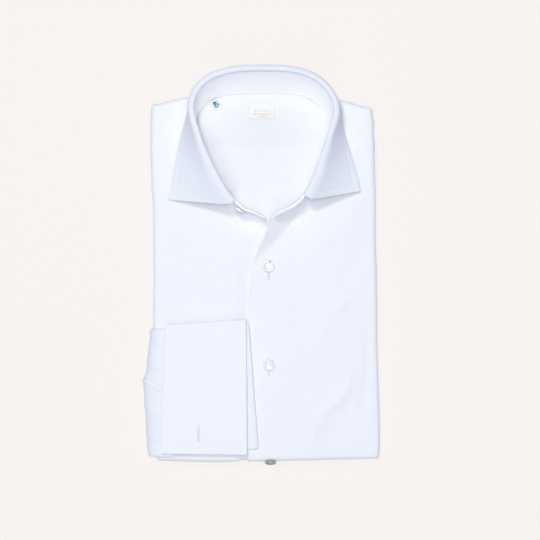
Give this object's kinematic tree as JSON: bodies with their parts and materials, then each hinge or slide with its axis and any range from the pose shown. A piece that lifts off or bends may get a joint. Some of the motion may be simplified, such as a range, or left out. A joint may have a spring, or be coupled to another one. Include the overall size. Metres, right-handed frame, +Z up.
{
  "type": "folded long sleeve dress shirt",
  "caption": "White cotton dress shirt folded flat, with a standing cutaway collar, a lapped placket with buttons and turned-back double cuffs on the front.",
  "frame": {"origin": "centre of the shirt's box on the surface it lies on", "axes": "+X to the wearer's left, +Y from the bottom fold to the collar, +Z up from the surface"},
  "size_m": [0.2182, 0.3692, 0.0451],
  "materials": {
    "cotton": "matte fine white cotton with a faint cool cast",
    "collar_cotton": "matte white cotton, fused and pressed",
    "pearl": "glossy mother-of-pearl look",
    "label_satin": "woven satin",
    "tag_blue": "woven satin"
  },
  "bodies": {
    "root": {"folded_core": "cotton", "front_right": "cotton", "front_left": "cotton", "front_placket": "cotton", "yoke": "cotton", "back_panel": "cotton", "collar_stand": "collar_cotton", "collar_fall": "collar_cotton", "cuff_left": "cotton", "cuff_right": "cotton", "sleeve_right": "cotton", "button_1": "pearl", "button_2": "pearl", "button_3": "pearl", "button_collar": "pearl", "neck_label": "label_satin", "size_tag": "tag_blue"}
  },
  "joints": []
}
